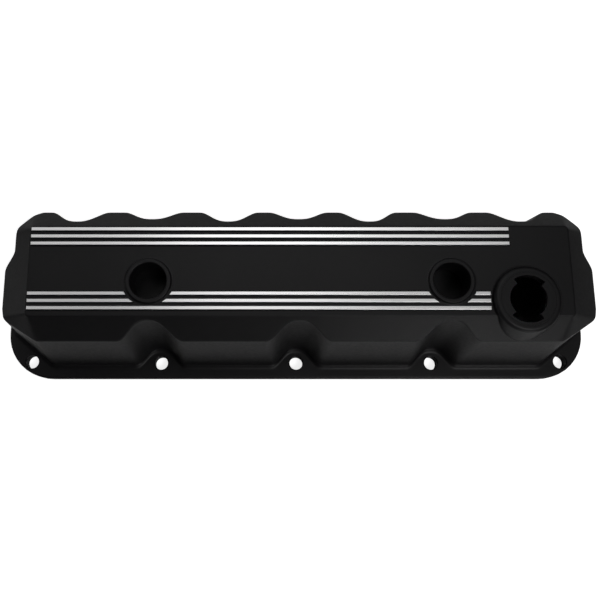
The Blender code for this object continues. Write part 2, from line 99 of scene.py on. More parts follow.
# ---- how far each sloping panel runs out for each metre that it drops --------
FRONT_LEAN = 1.0
END_LEAN = 1.431
BACK_LEAN = 1.015
FRONT_CORNER_LEAN = 0.714
BACK_CORNER_LEAN = 0.915
FRONT_CORNER_NORMAL = Vector((0.5433, -0.8396))
BACK_CORNER_NORMAL = Vector((0.6460, 0.7630))
HIP_SOFTNESS = 0.0012

# ---- front wall and its bolt pockets ---------------------------------------
BOLT_PITCH = 0.1133
FRONT_BASE = -0.0580                        # foot of the wall
FRONT_SHOULDER = -0.0473                    # where the wall meets the sloping panel
POCKET_BASE = (0.0208, 0.0139)              # half width and depth at the foot
POCKET_SHOULDER = (0.0252, 0.01375)         # the same at the shoulder
POCKET_FULLNESS = 1.3

# ---- back wall: one lobe over each rocker, with valleys between them ---------
BACK_BASE = 0.0629
BACK_SHOULDER = 0.0553
CYLINDER_VALLEY_X = (0.0543, 0.1708)        # between the two rockers of one cylinder
CYLINDER_VALLEY = (0.0230, 0.0096, 0.0109)  # half width, depth at foot, depth at shoulder
BOLT_VALLEY_X = (0.0, BOLT_PITCH)           # between two cylinders
BOLT_VALLEY = (0.0232, 0.0114, 0.0080)
VALLEY_FULLNESS = 1.3

# ---- end walls and corners ----------------------------------------------------
END_BASE = 0.2378
END_SHOULDER = 0.2272
END_RECESS = 0.0086                         # the back part of each end is set in
RECESS_START, RECESS_LENGTH = 0.007, 0.016
FRONT_END_X, BACK_END_X = 0.192, 0.198      # where the long sides stop and corners start
END_START_Y, END_STOP_Y = -0.022, 0.036
CORNER_ROUNDING = 0.008
FRONT_CORNER_BASE = ((0.2030, FRONT_BASE), (0.2295, -0.0360), (END_BASE, -0.0290))
FRONT_CORNER_SHOULDER = ((0.2000, FRONT_SHOULDER), (0.2255, -0.0308))
BACK_CORNER_BASE = ((0.2280, 0.0430), (0.2085, 0.0610), (0.2020, BACK_BASE))
BACK_CORNER_SHOULDER = ((0.2182, 0.0415), (0.2065, 0.0520), (0.2005, BACK_SHOULDER))

# ---- edge radii of the casting ---------------------------------------------------
FLANGE_UNDER_RADIUS = 0.0006
FLANGE_UNDER_STRIP = 0.004                  # width of the outermost strip under the flange
FLANGE_EDGE_RADIUS = 0.0015
FOOT_RADIUS = 0.0045
SHOULDER_RADIUS = 0.0030
CREASE_RADIUS = 0.0022
INNER_RADIUS = 0.0040
OUTER_EDGES = (                             # radius, steps of its fillet, pieces of the run that leads to it
    (FLANGE_UNDER_RADIUS, 2, 1),
    (FLANGE_EDGE_RADIUS, 6, 2),
    (FOOT_RADIUS, 8, 3),
    (SHOULDER_RADIUS, 7, 10),
    (CREASE_RADIUS, 6, 6),
)

# ---- holes, bosses and ribs --------------------------------------------------------
BOLT_HOLE_RADIUS = 0.0055
BOLT_HOLE_CHAMFER = 0.0006
FRONT_BOLT_Y = -0.0560
FRONT_CORNER_BOLT = (0.222, -0.0549)
BACK_BOLT_Y = 0.0606
BACK_CORNER_BOLT = (0.228, 0.057)
BREATHER_X = BOLT_PITCH
BREATHER_Y = -0.0043
BREATHER_BORE_RADIUS = 0.0137
BREATHER_BOSS_RADIUS = 0.0172
BREATHER_BOSS_HEIGHT = 0.0022
BREATHER_TUBE_DEPTH = 0.020
BREATHER_BORE_DEPTH = 0.025
BORE_MOUTH = ((0.0, -0.0009), (0.0003, -0.0003), (0.0012, 0.0003), (0.0012, 0.002))     # outwards, upwards
BOSS_FOOT = 0.0014                          # how far the boss's foot reaches out over the roof
BOSS_FOOT_LEVELS = (-0.002, -0.001, 0.0001, 0.0003)       # the foot's corners, measured up from the roof
BOSS_FOOT_RADIUS = 0.0011
BOSS_RIM_RADIUS = 0.0012
BOSS_TOP_INSET = 0.002                      # its flat top runs on inwards, until the bore is cut
FILLER_X, FILLER_Y = 0.1683, -0.0187
FILLER_RADIUS = 0.0248
FILLER_RIM_RADIUS = 0.0032
FILLER_FLARE = 0.156                        # radius gained for each metre down the neck
FILLER_SEAT_RADIUS = 0.0203
FILLER_SEAT_DEPTH = 0.004
FILLER_SEAT_CHAMFER = 0.0001
FILLER_TOP_INSET = 0.006                    # its flat top runs on inwards, until the seat is cut
FILLER_BORE_RADIUS = 0.0185
FILLER_NECK_FOOT = FLANGE_TOP + 0.061
FILLER_BORE_FOOT = FLANGE_TOP + 0.058
BAYONET_RADIUS = 0.0138
BAYONET_SLOT_RADIUS = 0.0179
BAYONET_SLOT_HALF_ANGLE = math.radians(40)
BAYONET_TURN = math.radians(-6)
RING_SEATING = 0.00024                      # closes the fine joint round the pressed-in ring
RING_CAP = 0.004                            # width of its flat faces, until the mouth is cut
RING_UNDER_RADIUS, RING_TOP_RADIUS = 0.0004, 0.0001
RING_MOUTH_EASE = 0.0004
RIB_WIDTH = 0.0026
RIB_HEIGHT = 0.002
RIB_START_X = -0.2026
BACK_RIB_Y, BACK_RIB_END_X = (0.0359, 0.0303, 0.0247), 0.158
FRONT_RIB_Y, FRONT_RIB_END_X = (-0.0139, -0.0194, -0.0249), 0.1413
RIB_RELIEF_RADIUS = 0.0196
RIB_ROOT = 0.001                            # how deep each rib starts in the roof
RIB_CAP = 0.0003                            # bright machined layer on top of each rib
RIB_EASE = 0.0002

# ---- gasket, baffles and fixings ------------------------------------------------------
GASKET_INSET = 0.0006                       # its outer edge lies this far in from the flange's
GASKET_LIP = 0.0008                         # its inner edge lies this far out from the wall's inner face
GASKET_EASE = 0.0005
GASKET_HOLE_GAP = 0.0003
BAFFLE_SHEET = 0.0015
BAFFLE_BEND = 0.0028
BAFFLE_EASE = 0.0002
BAFFLE_DROP = 0.030
POST_OFFSET_X, POST_OFFSET_Y = 0.0215, 0.0180
BAFFLE_Y = -0.002
POST_RADIUS = 0.0045
POST_FLARE = 1.12                           # top radius over foot radius
POST_BORE_RADIUS, POST_BORE_DEPTH = 0.0027, 0.0105
SCREW_HEAD_HEIGHT = 0.0030
SCREW_HEAD_RADII = (0.0011, 0.0003)         # of the head's edge: at its face, and next to the washer
SCREW_FACE_INSET = 0.002                    # plain face round the socket, in from the head's side
SCREW_SHANK_RADIUS = 0.0023
SCREW_TIP_SHARE = 0.7
SOCKET_RADIUS, SOCKET_DEPTH, SOCKET_EASE = 0.0018, 0.0016, 0.0001
THREAD_PITCH, THREAD_DEPTH = 0.0008, 0.0002
THREAD_START, THREAD_END = 0.001, 0.0008    # in from the head and from the tip
WASHER_BORE_RADIUS = 0.0027
WASHER_EASE = 0.00015
WASHER_SLOT = math.radians(14)

# ---- floor, and each light's name, place, target, size and watts -----------------------------
FLOOR_GLOW = 0.95
FLOOR_SEEN_Z, FLOOR_PLAIN_Z = -0.0005, -0.0006
FLOOR_REACH = 4.0
UNDER_COVER = ((-0.236, -0.048), (0.236, 0.049))          # the glowing floor's opening, edge under the gasket
LIGHTS = (
    ("right_front_top", (0.5, -0.6, 1.3), (0.05, -0.02, 0.04), (0.6, 0.5), 6.8),
    ("front_right_low", (0.45, -1.2, 0.18), (0.1, -0.02, 0.04), (0.5, 0.3), 2.0),
    ("overhead_mid", (-0.05, 0.4, 1.4), (0, 0, 0.05), (0.5, 0.5), 1.05),
    ("overhead_back", (0.0, 0.8, 1.3), (0, 0, 0.05), (1.2, 0.5), 2.5),
    ("overhead_left", (-0.8, 0.35, 1.35), (0, 0, 0.05), (0.7, 0.7), 0.8),
    ("overhead_right", (0.5, 0.45, 1.4), (0.1, 0, 0.05), (0.6, 0.5), 0.5),
    ("left_low", (-1.2, 0.1, 0.35), (-0.15, 0, 0.05), (0.4, 0.4), 0.75),
    ("back_fill", (-0.6, 1.3, 0.55), (0, 0, 0.04), (1.2, 0.5), 1.6),
)

# ---- camera ----------------------------------------------------------------------------------
CAMERA_PLACE = (-0.0261, -0.1289, FLANGE_TOP + 0.598)
CAMERA_TILT = math.radians(12)
CAMERA_SENSOR, CAMERA_FOCAL = 36, 42.81     # millimetres
CAMERA_SHIFT = 0.0583


# ---- small geometry helpers --------------------------------------------------------------
def bell(u, fullness):
    """1 in the middle, 0 from |u| = 1 outwards, smooth in between."""
    if abs(u) >= 1:
        return 0.0
    return math.cos(math.pi / 2 * abs(u) ** fullness) ** 2


def smoothstep(t):
    t = min(max(t, 0.0), 1.0)
    return t * t * (3 - 2 * t)


def soft_max(values, softness):
    """Largest value, with the change from one to the next rounded over."""
    top = max(values)
    return top + softness * math.log(sum(math.exp((v - top) / softness) for v in values))


def roof_height(x, y):
    """Height above the flange of the many-sided roof over a point in plan."""
    x = abs(x)
    front_corner = (x - ROOF_HALF_LENGTH, y - ROOF_FRONT)
    back_corner = (x - ROOF_HALF_LENGTH, y - ROOF_BACK)
    drops = (
        (ROOF_FRONT - y) / FRONT_LEAN,
        (x - ROOF_HALF_LENGTH) / END_LEAN,
        (y - ROOF_BACK) / BACK_LEAN,
        FRONT_CORNER_NORMAL.dot(front_corner) / FRONT_CORNER_LEAN,
        BACK_CORNER_NORMAL.dot(back_corner) / BACK_CORNER_LEAN,
    )
    return ROOF_HEIGHT - soft_max(drops, HIP_SOFTNESS)


def arc_through(before, corner, after, radius, steps, most=0.47):
    """Points of the circular fillet that rounds a corner."""
    towards, away = (before - corner), (after - corner)
    turn = math.pi - towards.angle(away)
    if turn < 1e-4:
        return [corner.copy() for _ in range(steps + 1)]
    reach = radius * math.tan(turn / 2)
    reach = min(reach, towards.length * most, away.length * most)
    start = corner + towards.normalized() * reach
    stop = corner + away.normalized() * reach
    weight = math.cos(turn / 2)
    points = []
    for k in range(steps + 1):
        t = k / steps
        a, b, c = (1 - t) ** 2, 2 * weight * t * (1 - t), t * t
        points.append((start * a + corner * b + stop * c) / (a + b + c))
    return points


def rounded_path(corners, radius, count, most=0.49):
    """Evenly spaced points along a polyline whose inner corners are rounded."""
    corners = [Vector(corner) for corner in corners]
    points = [corners[0]]
    for before, corner, after in zip(corners, corners[1:], corners[2:]):
        points += arc_through(before, corner, after, radius, steps=10, most=most)
    return resample(points + [corners[-1]], count)


def resample(points, count):
    """That many equal steps along a polyline."""
    lengths = [0.0]
    for a, b in zip(points, points[1:]):
        lengths.append(lengths[-1] + (b - a).length)
    samples = []
    k = 0
    for i in range(count + 1):
        target = lengths[-1] * i / count
        while k < len(points) - 2 and lengths[k + 1] < target:
            k += 1
        span = max(lengths[k + 1] - lengths[k], 1e-12)
        samples.append(points[k].lerp(points[k + 1], (target - lengths[k]) / span))
    return samples


def circle(x, y, radius, sides):
    angles = (2 * math.pi * i / sides for i in range(sides))
    return [(x + radius * math.cos(a), y + radius * math.sin(a)) for a in angles]


# ---- stations round the cover: flange edge, wall foot, shoulder, roof edge, inward ---------
def spaced(centres, half_width, steps):
    """Places spread evenly over each pocket or valley."""
    return [c + half_width * k / steps for c in centres for k in range(-steps, steps + 1)]


def filled(xs, last, gap):
    """The places from 0 to last, with more put in where they are further apart than gap."""
    xs = sorted({round(x, 6) for x in xs if 0 <= x <= last} | {0.0, last})
    full = [xs[0]]
    for a, b in zip(xs, xs[1:]):
        pieces = max(1, math.ceil((b - a) / gap - 1e-6))
        full += [a + (b - a) * (k + 1) / pieces for k in range(pieces)]
    return full


def dip(x, centres, half_width, depth, fullness):
    """How far a wall goes in at x for the pockets or valleys at the given centres."""
    return depth * max(bell((x - centre) / half_width, fullness) for centre in centres)


def front_stations():
    pockets = (0.0, BOLT_PITCH)
    for x in filled(spaced(pockets, POCKET_SHOULDER[0], 18), FRONT_END_X, 0.012):
        foot_y = FRONT_BASE + dip(x, pockets, *POCKET_BASE, POCKET_FULLNESS)
        shoulder_y = FRONT_SHOULDER + dip(x, pockets, *POCKET_SHOULDER, POCKET_FULLNESS)
        roof_x = x * (ROOF_HALF_LENGTH - ROOF_CORNER_RADIUS) / FRONT_END_X
        yield (x, -FLANGE_HALF_WIDTH), (x, foot_y), (x, shoulder_y), (roof_x, ROOF_FRONT), (0, 1)


def front_corner_stations(steps=36):
    flange = rounded_path([(FRONT_END_X, -FLANGE_HALF_WIDTH), (FLANGE_HALF_LENGTH, -FLANGE_HALF_WIDTH),
                           (FLANGE_HALF_LENGTH, END_START_Y)], FRONT_CORNER_RADIUS, steps, most=0.9)
    base = rounded_path([(FRONT_END_X, FRONT_BASE), *FRONT_CORNER_BASE, (END_BASE, END_START_Y)],
                        CORNER_ROUNDING, steps)
    shoulder = rounded_path([(FRONT_END_X, FRONT_SHOULDER), *FRONT_CORNER_SHOULDER,
                             (END_SHOULDER, END_START_Y)], CORNER_ROUNDING, steps)
    roof = rounded_path([(ROOF_HALF_LENGTH - ROOF_CORNER_RADIUS, ROOF_FRONT), (ROOF_HALF_LENGTH, ROOF_FRONT),
                         (ROOF_HALF_LENGTH, ROOF_FRONT + ROOF_CORNER_RADIUS)],
                        ROOF_CORNER_RADIUS, steps, most=0.9)
    for i in range(1, steps):
        turn = math.pi / 2 * i / steps
        yield flange[i], base[i], shoulder[i], roof[i], (-math.sin(turn), math.cos(turn))


def end_stations(steps=34):
    roof_start = ROOF_FRONT + ROOF_CORNER_RADIUS
    for i in range(steps + 1):
        t = i / steps
        y = END_START_Y + (END_STOP_Y - END_START_Y) * t
        inset = END_RECESS * smoothstep((y - RECESS_START) / RECESS_LENGTH)
        roof_y = roof_start + (ROOF_BACK - ROOF_CORNER_RADIUS - roof_start) * t
        yield ((FLANGE_HALF_LENGTH, y), (END_BASE - inset, y), (END_SHOULDER - inset, y),
               (ROOF_HALF_LENGTH, roof_y), (-1, 0))


def back_corner_stations(steps=32):
    flange = rounded_path([(FLANGE_HALF_LENGTH, END_STOP_Y), (FLANGE_HALF_LENGTH, FLANGE_HALF_WIDTH),
                           (BACK_END_X, FLANGE_HALF_WIDTH)], BACK_CORNER_RADIUS, steps, most=0.9)
    base = rounded_path([(END_BASE - END_RECESS, END_STOP_Y), *BACK_CORNER_BASE, (BACK_END_X, BACK_BASE)],
                        CORNER_ROUNDING, steps)
    shoulder = rounded_path([(END_SHOULDER - END_RECESS, END_STOP_Y), *BACK_CORNER_SHOULDER,
                             (BACK_END_X, BACK_SHOULDER)], CORNER_ROUNDING, steps)
    roof = rounded_path([(ROOF_HALF_LENGTH, ROOF_BACK - ROOF_CORNER_RADIUS), (ROOF_HALF_LENGTH, ROOF_BACK),
                         (ROOF_HALF_LENGTH - ROOF_CORNER_RADIUS, ROOF_BACK)],
                        ROOF_CORNER_RADIUS, steps, most=0.9)
    for i in range(1, steps):
        turn = math.pi / 2 * i / steps
        yield flange[i], base[i], shoulder[i], roof[i], (-math.cos(turn), -math.sin(turn))


def back_stations():
    rows = ((CYLINDER_VALLEY_X, CYLINDER_VALLEY), (BOLT_VALLEY_X, BOLT_VALLEY))
    xs = [x for centres, (half_width, _, _) in rows for x in spaced(centres, half_width, 13)]
    for x in reversed(filled(xs, BACK_END_X, 0.006)):
        foot_y, shoulder_y = BACK_BASE, BACK_SHOULDER
        for centres, (half_width, foot_depth, shoulder_depth) in rows:
            foot_y -= dip(x, centres, half_width, foot_depth, VALLEY_FULLNESS)
            shoulder_y -= dip(x, centres, half_width, shoulder_depth, VALLEY_FULLNESS)
        roof_x = x * (ROOF_HALF_LENGTH - ROOF_CORNER_RADIUS) / BACK_END_X
        yield (x, FLANGE_HALF_WIDTH), (x, foot_y), (x, shoulder_y), (roof_x, ROOF_BACK), (0, -1)


def all_stations():
    right = [*front_stations(), *front_corner_stations(), *end_stations(), *back_corner_stations(),
             *back_stations()]
    right = [tuple(Vector(point) for point in station) for station in right]
    mirror = Vector((-1, 1))
    left = [tuple(point * mirror for point in station) for station in reversed(right[1:-1])]
    return right + left


def lift(point, z):
    return Vector((point.x, point.y, z))


# ---- mesh helpers ------------------------------------------------------------------------------
def new_piece(name, builder, material, smooth_angle=35):
    bmesh.ops.recalc_face_normals(builder, faces=builder.faces)
    mesh = bpy.data.meshes.new(name)
    builder.to_mesh(mesh)
    builder.free()
    if material:
        mesh.materials.append(material)
    piece = bpy.data.objects.new(name, mesh)
    bpy.context.scene.collection.objects.link(piece)
    mesh.shade_smooth()
    mesh.set_sharp_from_angle(angle=math.radians(smooth_angle))
    return piece


def loft(rings, middle=None):
    """Closed solid through rings of equal length, capped at both ends."""
    builder = bmesh.new()
    rows = [[builder.verts.new(point) for point in ring] for ring in rings]
    count = len(rings[0])
    for lower, upper in zip(rows, rows[1:]):
        for i in range(count):
            j = (i + 1) % count
            builder.faces.new((lower[i], lower[j], upper[j], upper[i]))
    builder.faces.new(rows[0])
    if middle:
        flat_cap(builder, rows[-1], *middle)
    else:
        builder.faces.new(rows[-1])
    return builder


def flat_cap(builder, row, low, high):
    """Flat end whose middle is one plain rectangle, so that what is cut through it stays simple."""
    z = row[0].co.z
    centre_y = (low[1] + high[1]) / 2
    corners = [builder.verts.new((x, y, z)) for x, y in ((low[0], low[1]), (high[0], low[1]),
                                                         (high[0], high[1]), (low[0], high[1]))]

    def nearest(vert):
        if vert.co.y < centre_y:
            return corners[0] if vert.co.x < 0 else corners[1]
        return corners[3] if vert.co.x < 0 else corners[2]

    for a, b in zip(row, row[1:] + row[:1]):
        near_a, near_b = nearest(a), nearest(b)
        builder.faces.new((a, b, near_a) if near_a is near_b else (a, b, near_b, near_a))
    builder.faces.new(corners)


def prism(outline, bottom, top):
    """Upright solid on a plan outline."""
    return loft([[(x, y, bottom) for x, y in outline], [(x, y, top) for x, y in outline]])


def turned(profile, x, y, sides):
    """Closed solid of revolution about a vertical axis; the profile is a list of (radius, z)."""
    return loft([[(px, py, z) for px, py in circle(x, y, radius, sides)] for radius, z in profile])


def round_profile(corners, steps):
    """A (radius, z) profile whose corners are rounded: each corner is (radius, z, fillet)."""
    points = []
    for k, (r, z, fillet) in enumerate(corners):
        here = Vector((r, z))
        if fillet == 0 or k in (0, len(corners) - 1):
            points.append(here)
            continue
        before, after = Vector(corners[k - 1][:2]), Vector(corners[k + 1][:2])
        points += arc_through(before, here, after, fillet, steps)
    return points


def apply_boolean(piece, operation, builders):
    """Cuts or joins the closed builders into the piece, and clears them away."""
    collection = bpy.data.collections.new("boolean_tools")
    for builder in builders:
        tool = new_piece("boolean_tool", builder, None)
        bpy.context.scene.collection.objects.unlink(tool)
        collection.objects.link(tool)
    modifier = piece.modifiers.new("cut", "BOOLEAN")
    modifier.operation = operation
    modifier.solver = "EXACT"
    modifier.operand_type = "COLLECTION"
    modifier.collection = collection
    bake(piece)
    for tool in list(collection.objects):
        bpy.data.objects.remove(tool)
    bpy.data.collections.remove(collection)


def bake(piece):
    """Replaces the piece's mesh by what its modifiers make of it."""
    graph = bpy.context.evaluated_depsgraph_get()
    mesh = bpy.data.meshes.new_from_object(piece.evaluated_get(graph))
    piece.modifiers.clear()
    old = piece.data
    piece.data = mesh
    mesh.name = piece.name
    bpy.data.meshes.remove(old)


def ease_edges(piece, width, segments):
    """Small bevel on the sharp edges."""
    bevel = piece.modifiers.new("eased_edges", "BEVEL")
    bevel.width = width
    bevel.segments = segments
    bevel.angle_limit = math.radians(50)


def even_normals(piece, smooth_angle):
    """Smooth where faces nearly meet in line, while broad flat faces stay flat."""
    piece.data.shade_smooth()
    piece.data.set_sharp_from_angle(angle=math.radians(smooth_angle))
    modifier = piece.modifiers.new("even_normals", "WEIGHTED_NORMAL")
    modifier.keep_sharp = True
    modifier.weight = 100


# ---- the casting -------------------------------------------------------------------------------
def outer_profile(station):
    """From under the flange edge, over the wall and on to the flat roof."""
    flange, foot, shoulder, edge, inward = station
    corners = [lift(flange + inward * FLANGE_UNDER_STRIP, FLANGE_BOTTOM), lift(flange, FLANGE_BOTTOM),
               lift(flange, FLANGE_TOP), lift(foot, FLANGE_TOP),
               lift(shoulder, FLANGE_TOP + roof_height(*shoulder)),
               lift(edge, ROOF), lift(edge + inward * ROOF_RIM, ROOF)]
    points = [corners[0]]
    for before, corner, after, (radius, steps, pieces) in zip(corners, corners[1:], corners[2:], OUTER_EDGES):
        fillet = arc_through(before, corner, after, radius, steps)
        last = points[-1]
        points += [last.lerp(fillet[0], n / pieces) for n in range(1, pieces)]
        points += fillet
    return points + [corners[-1]]


def inner_profile(station):
    """Cavity, from just below the flange up to the ceiling."""
    _, foot, shoulder, edge, inward = station
    inner_foot = foot + inward * WALL_THICKNESS
    shoulder_z = FLANGE_TOP + roof_height(*shoulder) - CAVITY_SHOULDER_DROP
    ceiling = Vector((edge.x * CEILING_SHARE[0], ROOF_MIDDLE_Y + (edge.y - ROOF_MIDDLE_Y) * CEILING_SHARE[1]))
    corners = [lift(inner_foot, FLANGE_BOTTOM - 2 * CUT_REACH), lift(inner_foot, FLANGE_BOTTOM),
               lift(shoulder + inward * WALL_THICKNESS, shoulder_z),
               lift(edge + inward * CAVITY_CREASE_INSET, ROOF - ROOF_THICKNESS),
               lift(ceiling, ROOF - ROOF_THICKNESS)]
    points = [corners[0], corners[1]]
    points += [corners[1].lerp(corners[2], n / 9) for n in range(1, 8)]
    points += arc_through(*corners[1:4], INNER_RADIUS, steps=5)
    points += arc_through(*corners[2:5], INNER_RADIUS, steps=5)
    return points + [corners[4]]


def rings_of(profile, stations):
    """Rings round the cover: each joins the same point of every station's profile."""
    return [list(ring) for ring in zip(*(profile(station) for station in stations))]


def bolt_places():
    """Three holes along each side and one near each corner."""
    places = [(x, y) for y in (FRONT_BOLT_Y, BACK_BOLT_Y) for x in (-BOLT_PITCH, 0.0, BOLT_PITCH)]
    places += [(side * x, y) for side in (-1, 1) for x, y in (FRONT_CORNER_BOLT, BACK_CORNER_BOLT)]
    return places


def rib_outlines():
    """Each rib's plan, broken with slanted ends where it would run into a breather boss."""
    half = RIB_WIDTH / 2
    for lines, end_x in ((BACK_RIB_Y, BACK_RIB_END_X), (FRONT_RIB_Y, FRONT_RIB_END_X)):
        for y in lines:
            lower, upper = y - half, y + half
            starts, stops = [(RIB_START_X, RIB_START_X)], []
            for centre in (-BREATHER_X, BREATHER_X):
                reach = [RIB_RELIEF_RADIUS ** 2 - (edge - BREATHER_Y) ** 2 for edge in (lower, upper)]
                if min(reach) <= 0:
                    continue
                cut = [math.sqrt(value) for value in reach]
                stops.append((centre - cut[0], centre - cut[1]))
                starts.append((centre + cut[0], centre + cut[1]))
            stops.append((end_x, end_x))
            for start, stop in zip(starts, stops):
                yield [(start[0], lower), (stop[0], lower), (stop[1], upper), (start[1], upper)]


def baffle_centres():
    return {"left": (-BREATHER_X, BAFFLE_Y), "right": (BREATHER_X, BAFFLE_Y)}


def post_places(centre):
    return [(centre[0] + i * POST_OFFSET_X, centre[1] + j * POST_OFFSET_Y) for j in (-1, 1) for i in (-1, 1)]


def chamfered_hole(x, y, radius, chamfer, bottom, top, sides=40):
    """Cutter for a hole whose two mouths are chamfered."""
    mouth = radius + chamfer + CUT_REACH
    return turned([(mouth, bottom - CUT_REACH), (radius, bottom + chamfer),
                   (radius, top - chamfer), (mouth, top + CUT_REACH)], x, y, sides)


def neck_profile(rim):
    """Filler neck: a slightly flared tube with a rounded rim."""
    foot_radius = FILLER_RADIUS + FILLER_FLARE * (rim - FILLER_NECK_FOOT)
    return round_profile([(foot_radius, FILLER_NECK_FOOT, 0), (FILLER_RADIUS, rim, FILLER_RIM_RADIUS),
                          (FILLER_SEAT_RADIUS - FILLER_TOP_INSET, rim, 0)], steps=8)


def filler_bore_profile(rim):
    """Cutter for the bore up the neck and the wider seat in its mouth."""
    ledge = rim - FILLER_SEAT_DEPTH
    return [(FILLER_BORE_RADIUS, FILLER_BORE_FOOT), (FILLER_BORE_RADIUS, ledge), (FILLER_SEAT_RADIUS, ledge),
            (FILLER_SEAT_RADIUS, rim - FILLER_SEAT_CHAMFER),
            (FILLER_SEAT_RADIUS + FILLER_SEAT_CHAMFER + CUT_REACH, rim + CUT_REACH)]


def boss_profile(top):
    """Breather boss on the roof, with a filleted foot, and the tube that hangs below it."""
    radius, foot = BREATHER_BOSS_RADIUS, BREATHER_BOSS_RADIUS + BOSS_FOOT
    levels = [ROOF + level for level in BOSS_FOOT_LEVELS]
    return round_profile([(radius, ROOF - BREATHER_TUBE_DEPTH, 0), (radius, levels[0], 0),
                          (foot, levels[1], 0), (foot, levels[2], 0), (radius, levels[3], BOSS_FOOT_RADIUS),
                          (radius, top, BOSS_RIM_RADIUS), (BREATHER_BORE_RADIUS - BOSS_TOP_INSET, top, 0)],
                         steps=6)


def breather_bore_profile(top):
    """Cutter for the bore through a breather boss, with an eased mouth."""
    mouth = [(BREATHER_BORE_RADIUS + out, top + up) for out, up in BORE_MOUTH]
    return [(BREATHER_BORE_RADIUS, ROOF - BREATHER_BORE_DEPTH), *mouth]


def make_casting(stations, material):
    """Shell with its neck, bosses, posts and ribs, then every hole through it."""
    outer = loft(rings_of(outer_profile, stations), ROOF_MIDDLE)
    cavity = loft(rings_of(inner_profile, stations), CEILING_MIDDLE)
    casting = new_piece("casting", outer, material)
    breathers = [(-BREATHER_X, BREATHER_Y), (BREATHER_X, BREATHER_Y)]
    posts = [place for centre in baffle_centres().values() for place in post_places(centre)]
    post_foot = ROOF - BAFFLE_DROP
    post = [(POST_RADIUS, post_foot), (POST_RADIUS * POST_FLARE, ROOF - ROOF_THICKNESS / 2)]
    rim, boss_top = CASTING_HIGH.z, ROOF + BREATHER_BOSS_HEIGHT

    apply_boolean(casting, "UNION", [turned(neck_profile(rim), FILLER_X, FILLER_Y, sides=96)])
    apply_boolean(casting, "DIFFERENCE", [cavity])

    added = [turned(boss_profile(boss_top), x, y, sides=72) for x, y in breathers]
    added += [turned(post, x, y, sides=24) for x, y in posts]
    added += [prism(outline, ROOF - RIB_ROOT, ROOF + RIB_HEIGHT - RIB_CAP) for outline in rib_outlines()]
    apply_boolean(casting, "UNION", added)

    holes = [chamfered_hole(x, y, BOLT_HOLE_RADIUS, BOLT_HOLE_CHAMFER, FLANGE_BOTTOM, FLANGE_TOP)
             for x, y in bolt_places()]
    holes += [turned(breather_bore_profile(boss_top), x, y, sides=72) for x, y in breathers]
    holes += [prism(circle(x, y, POST_BORE_RADIUS, sides=20), post_foot - CUT_REACH,
                    post_foot + POST_BORE_DEPTH) for x, y in posts]
    holes.append(turned(filler_bore_profile(rim), FILLER_X, FILLER_Y, sides=96))
    apply_boolean(casting, "DIFFERENCE", holes)
    even_normals(casting, smooth_angle=28)
    return casting


def make_rib_caps(material):
    """Bright machined tops of the ribs, with their long edges eased."""
    builder = bmesh.new()
    low, high = ROOF + RIB_HEIGHT - RIB_CAP, ROOF + RIB_HEIGHT
    for outline in rib_outlines():
        centre = sum((Vector(point) for point in outline), Vector((0, 0))) / 4
        inset = [Vector(point) + Vector((math.copysign(RIB_EASE, centre.x - point[0]),
                                         math.copysign(RIB_EASE, centre.y - point[1]))) for point in outline]
        part = loft([[(x, y, low) for x, y in outline], [(x, y, high - RIB_EASE) for x, y in outline],
                     [(x, y, high) for x, y in inset]])
        mesh = bpy.data.meshes.new("rib_cap_part")
        part.to_mesh(mesh)
        part.free()
        builder.from_mesh(mesh)
        bpy.data.meshes.remove(mesh)
    return new_piece("rib_caps", builder, material, smooth_angle=30)


# ---- loose pieces ----------------------------------------------------------------------------------
def gasket_profile(station):
    """Its whole section, from the outer edge's foot up, across and down."""
    flange, foot, _, _, inward = station
    bottom, top, ease = GASKET_LOW.z, GASKET_HIGH.z, GASKET_EASE
    outer = flange + inward * GASKET_INSET
    inner = foot + inward * (WALL_THICKNESS - GASKET_LIP)
    return [lift(outer + inward * ease, bottom), lift(outer, bottom + ease),
            lift(outer, top - ease), lift(outer + inward * ease, top),
            lift(inner - inward * ease, top), lift(inner, top - ease),
            lift(inner, bottom + ease), lift(inner - inward * ease, bottom)]


def make_gasket(stations, material):
    """Flat moulded gasket with eased edges."""
    builder = bmesh.new()
    rows = [[builder.verts.new(point) for point in ring] for ring in rings_of(gasket_profile, stations)]
    count = len(rows[0])
    for first, second in zip(rows, rows[1:] + rows[:1]):
        for i in range(count):
            j = (i + 1) % count
            builder.faces.new((first[i], first[j], second[j], second[i]))
    gasket = new_piece("gasket_moulding", builder, material)
    bottom, top = GASKET_LOW.z - CUT_REACH, GASKET_HIGH.z + CUT_REACH
    outlines = [circle(x, y, BOLT_HOLE_RADIUS + GASKET_HOLE_GAP, sides=32) for x, y in bolt_places()]
    apply_boolean(gasket, "DIFFERENCE", [prism(outline, bottom, top) for outline in outlines])
    even_normals(gasket, smooth_angle=50)
    return gasket


def bayonet_outline(segments=24):
    """Round mouth, widened by two slots for the lugs of a cap."""
    outline = []
    narrow, wide = math.pi / 2 - BAYONET_SLOT_HALF_ANGLE, BAYONET_SLOT_HALF_ANGLE
    for quarter, radius, half in ((0, BAYONET_RADIUS, narrow), (1, BAYONET_SLOT_RADIUS, wide),
                                  (2, BAYONET_RADIUS, narrow), (3, BAYONET_SLOT_RADIUS, wide)):
        middle = BAYONET_TURN + quarter * math.pi / 2
        for k in range(segments + 1):
            angle = middle - half + 2 * half * k / segments
            outline.append((FILLER_X + radius * math.cos(angle), FILLER_Y + radius * math.sin(angle)))
    return outline


